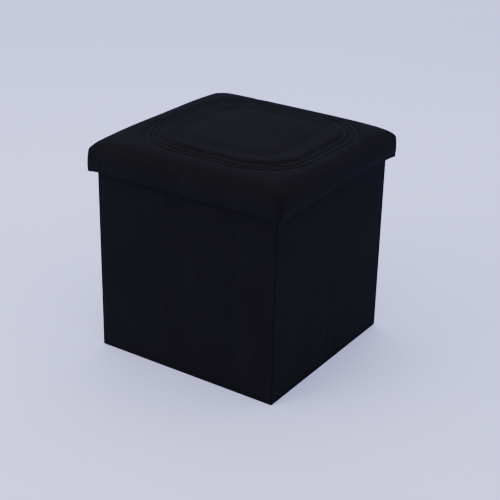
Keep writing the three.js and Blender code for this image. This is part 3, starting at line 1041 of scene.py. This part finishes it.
def make_bottom_hem(cover):
    """The rolled hem that the walls stand on: a closed section carried round the footprint. The section
    is upright outside, rolled under by a quarter circle, and flat on top and inside."""
    steps = 40 * 4
    turn = np.arange(steps) * 4.0 / steps
    top = hem_high.z
    roll = 1.5 * MM
    bottom = hem_low.z - 0.2 * MM
    angle = np.linspace(0, math.pi / 2, 6)
    inset = np.concatenate([[0.9 * MM, 0.15 * MM, 0], roll * (1 - np.cos(angle)), [WALL - 0.4 * MM] * 2])
    rounded_top = [top, top - 0.25 * MM, top - 0.9 * MM]
    level = np.concatenate([rounded_top, bottom + roll * (1 - np.sin(angle)), [bottom, top]])
    run = along_path(inset, level)
    half = BODY_X - inset
    grid_half, grid_turn = np.meshgrid(half, turn)
    radius = np.maximum(CORNER_ROUND - (BODY_X - grid_half), 0.6 * MM)
    x, y = rounded_path(grid_half, radius, grid_turn)
    y = narrowed(y, grid_half, BODY_X - BODY_Y)
    points = np.stack([x, y, np.broadcast_to(level, x.shape)], axis=-1)
    faces = grid_quads(steps, len(half), wrap_rows=True, wrap_columns=True)
    around = np.broadcast_to((turn * 2 * BODY_X)[:, None], x.shape)
    cloth = np.stack([around, np.broadcast_to(run, x.shape)], axis=-1)
    corners = cloth.reshape(-1, 2)[faces.ravel()].reshape(-1, 4, 2)
    late = corners[..., 0].max(axis=1) - corners[..., 0].min(axis=1) > BODY_X
    around = corners[late, :, 0]
    corners[late, :, 0] = np.where(around < BODY_X, around + 8 * BODY_X, around)
    piece = make_piece("bottom_hem_cloth", points.reshape(-1, 3), faces, corners.reshape(-1, 2), cover)
    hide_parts(*[f"bottom_hem_{side}" for side in ("front", "rear", "right", "left")])
    dress(piece, "base_and_front_wall")


def make_floor_cloth(material):
    """The box's own floor: a sheet of lining cloth stretched between the hems, with slow unevenness in
    height that fades out at its edges."""
    low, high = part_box("floor_cloth")
    x, y = np.meshgrid(np.linspace(low.x, high.x, 90), np.linspace(low.y, high.y, 90))
    loose = (1 - (x / high.x) ** 8) * (1 - (y / high.y) ** 8)
    wave = soft_waves(x, y, 0.3 * MM, 7) * loose
    level = (low.z + high.z) / 2
    thick = 0.3 * MM
    top = np.stack([x, y, level + wave + thick], axis=-1)
    bottom = np.stack([x, y, np.maximum(level + wave - thick, low.z)], axis=-1)
    piece = make_piece("floor_sheet", *thin_solid(top, bottom, np.stack([x, y], axis=-1)), material)
    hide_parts("floor_cloth")
    dress(piece, "base_and_front_wall")


# ------------------------------------------------------------------ the insert


def make_insert_wrap(material):
    """The floor insert's cloth-wrapped board: a slab with half-round edges, its section carried round."""
    half_x = insert_high.x
    front, rear = insert_low.y, insert_high.y
    low, high = insert_bottom, insert_top
    middle = (low + high) / 2
    thick = (high - low) / 2
    corner = 3 * MM
    edge_round = 2.2 * MM
    flat_in = 14 * MM
    angle = np.linspace(math.pi / 2, -math.pi / 2, 9)
    section_in = np.concatenate([[flat_in], edge_round * (1 - np.cos(angle)), [flat_in]])
    section_level = np.concatenate([[high], middle + thick * np.sin(angle), [low]])
    steps = 4 * 30
    turn = np.arange(steps) * 4.0 / steps
    inset, grid_turn = np.meshgrid(section_in, turn)
    depth = (rear - front) / 2
    x, y = rounded_path(half_x - inset, np.full_like(inset, corner), grid_turn)
    y = narrowed(y, half_x, half_x - depth) + (rear + front) / 2
    level = np.broadcast_to(section_level, x.shape)
    ring = np.stack([x, y, level], axis=-1)
    faces = [grid_quads(steps, len(section_in), wrap_rows=True)]
    count = ring.shape[0] * ring.shape[1]
    centres = np.array([[0, (rear + front) / 2, high], [0, (rear + front) / 2, low]])
    number = np.arange(count).reshape(steps, -1)
    for column, centre, flip in ((0, count, 1), (len(section_in) - 1, count + 1, -1)):
        edge = number[:, column]
        after = np.roll(edge, -1)
        tip = np.full(steps, centre)
        faces.append(np.stack([tip, edge, after, tip] if flip > 0 else [tip, after, edge, tip], axis=-1))
    points = np.vstack([ring.reshape(-1, 3), centres])
    piece = make_piece("insert_wrap", points, np.vstack(faces), points[:, :2], material)
    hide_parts("insert_board", "insert_top_cloth", "insert_bottom_cloth")
    dress(piece, "insert")


def make_insert_hinge(material):
    """The insert's hinge cloth: up the front wall's lining, round the corner and onto the insert's top."""
    half_x = insert_high.x - 8 * MM
    front, high = insert_low.y, insert_top
    lie = 0.16 * MM
    hinge_y = -INNER_Y + 0.4 * MM
    up = np.linspace(22 * MM, high + 0.3 * MM, 10)
    out = np.linspace(hinge_y + 0.3 * MM, front + 18 * MM, 12)
    path_y = np.concatenate([np.full(len(up), -INNER_Y + lie), out])
    path_z = np.concatenate([up, np.full(len(out), high + lie)])
    x = np.linspace(-half_x, half_x, 12)
    grid_x, grid_y = np.meshgrid(x, path_y, indexing="ij")
    grid_z = np.broadcast_to(path_z, grid_x.shape)
    normal_y = np.concatenate([np.ones(len(up)), np.zeros(len(out))])
    normal_z = np.concatenate([np.zeros(len(up)), np.ones(len(out))])
    outer = np.stack([grid_x, grid_y, grid_z], axis=-1)
    thickness = 0.12 * MM
    inner = np.stack([grid_x, grid_y - normal_y * thickness, grid_z - normal_z * thickness], axis=-1)
    cloth = np.stack([grid_x, np.broadcast_to(along_path(path_y, path_z), grid_x.shape)], axis=-1)
    hinge = make_piece("insert_hinge_cloth", *thin_solid(outer, inner, cloth), material)
    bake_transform(hinge)


def make_insert_tab(material):
    """The pull tab: a flat loop of tape, its long section with a half-round end carried across."""
    tab_middle = (tab_low.z + tab_high.z) / 2
    tab_thick = (tab_high.z - tab_low.z) / 2
    end_round = 0.8 * MM
    steps = 8
    along = np.linspace(tab_low.y, tab_high.y - end_round, steps)
    angle = np.linspace(math.pi / 2, -math.pi / 2, 7)[1:-1]
    path_y = np.concatenate([along, tab_high.y - end_round + end_round * np.cos(angle), along[::-1]])
    end_z = tab_middle + tab_thick * np.sin(angle)
    path_z = np.concatenate([np.full(steps, tab_high.z), end_z, np.full(steps, tab_low.z)])
    x = np.linspace(tab_low.x, tab_high.x, 12)
    grid_x, grid_y = np.meshgrid(x, path_y, indexing="ij")
    grid_z = np.broadcast_to(path_z, grid_x.shape)
    faces = [grid_quads(len(x), len(path_y), wrap_columns=True)]
    tip = len(path_y) // 2
    upper = np.arange(tip)
    lower = len(path_y) - 1 - upper
    side = np.stack([upper[:-1], upper[1:], lower[1:], lower[:-1]], axis=-1)
    side = np.vstack([side, [[tip - 1, tip, tip + 1, tip - 1]]])
    for row, flip in ((0, -1), (len(x) - 1, 1)):
        faces.append((side + row * len(path_y))[:, ::flip])
    points = np.stack([grid_x, grid_y, grid_z], axis=-1).reshape(-1, 3)
    tab = make_piece("insert_tab", points, np.vstack(faces), points[:, :2], material)
    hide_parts("insert_pull_tab")
    dress(tab, "insert")


# ------------------------------------------------------------------ putting it together


def make_floor(material):
    """A wide floor that curves up behind: a profile of a straight, a quarter circle and a straight,
    carried across."""
    angle = np.linspace(0, math.pi / 2, 24)
    near = -4.0
    far = 2.2
    bend = 1.2
    tall = 4.5
    depth = np.concatenate([[near, far], far + bend * np.sin(angle[1:]), [far + bend]])
    rise = np.concatenate([[0, 0], bend * (1 - np.cos(angle[1:])), [tall]])
    across = np.linspace(-5, 5, 3)
    grid_x, grid_depth = np.meshgrid(across, depth, indexing="ij")
    azimuth = math.radians(VIEW_AZIMUTH)
    away = (-math.sin(azimuth), math.cos(azimuth))
    right = (math.cos(azimuth), math.sin(azimuth))
    x = grid_x * right[0] + grid_depth * away[0]
    y = grid_x * right[1] + grid_depth * away[1]
    points = np.stack([x, y, np.broadcast_to(rise, x.shape)], axis=-1)
    mesh = bpy.data.meshes.new("studio_floor")
    mesh.from_pydata(points.reshape(-1, 3).tolist(), [], grid_quads(*x.shape).tolist())
    mesh.polygons.foreach_set("use_smooth", np.ones(len(mesh.polygons), bool))
    mesh.materials.append(material)
    floor = bpy.data.objects.new("studio_floor", mesh)
    scene.collection.objects.link(floor)


def finish_nodes(materials):
    """Gives each CAD node the finish of its own slot."""
    for row in frame["record"]["subparts"]:
        node = NODES[row["node"]]
        node.data.materials.clear()
        node.data.materials.append(materials[row["material_slot"]])


make_camera()
make_studio()
cover = cover_cloth()
binding = binding_cloth()
lining = lining_cloth()
board = fibreboard()
thread = black_thread()
finish_nodes({
    "cover_cloth": cover,
    "binding_cloth": binding,
    "lining_cloth": lining,
    "fibreboard": board,
    "foam": board,
})
make_floor(studio_floor())
make_ring_stitches(*make_lid(cover), thread)
for seed, wall in enumerate(WALLS):
    make_wall_cover(wall, seed + 11, cover)
make_corners(cover)
make_creases(cover, lining)
make_bindings(binding, thread)
make_bottom_hem(cover)
make_floor_cloth(lining)
make_insert_wrap(lining)
make_insert_hinge(binding)
make_insert_tab(binding)
